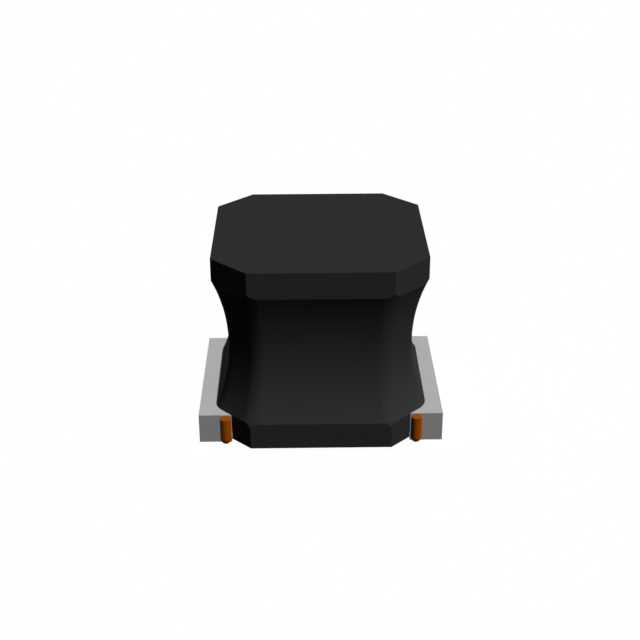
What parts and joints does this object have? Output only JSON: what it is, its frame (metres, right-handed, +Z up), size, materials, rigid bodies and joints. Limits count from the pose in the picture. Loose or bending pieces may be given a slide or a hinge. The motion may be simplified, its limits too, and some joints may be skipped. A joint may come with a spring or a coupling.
{
  "type": "shielded smd inductor",
  "caption": "Surface-mount power inductor: octagonal ferrite drum core, waisted magnetic coat over the winding, flat solder terminals at both sides.",
  "frame": {"origin": "on the board surface that the terminals stand on, at the middle of the part", "axes": "+Z up from the board, X across the two terminals, -Y is the front where the two lead ends show"},
  "size_m": [0.0058, 0.005, 0.0046],
  "materials": {
    "ferrite": "fine-grained, matt, ground flat on top",
    "magnetic_resin": "smooth dark filled resin",
    "enamelled_copper": "clear amber enamel over copper",
    "tin_plate": "matt tin plating",
    "solder": "satin solder",
    "adhesive": "cured dark epoxy"
  },
  "bodies": {
    "root": {"drum_core": "ferrite", "winding": "enamelled_copper", "magnetic_coat": "magnetic_resin", "terminal_left": "tin_plate", "terminal_right": "tin_plate", "adhesive_left": "adhesive", "adhesive_right": "adhesive", "solder_left": "solder", "solder_right": "solder"}
  },
  "joints": []
}
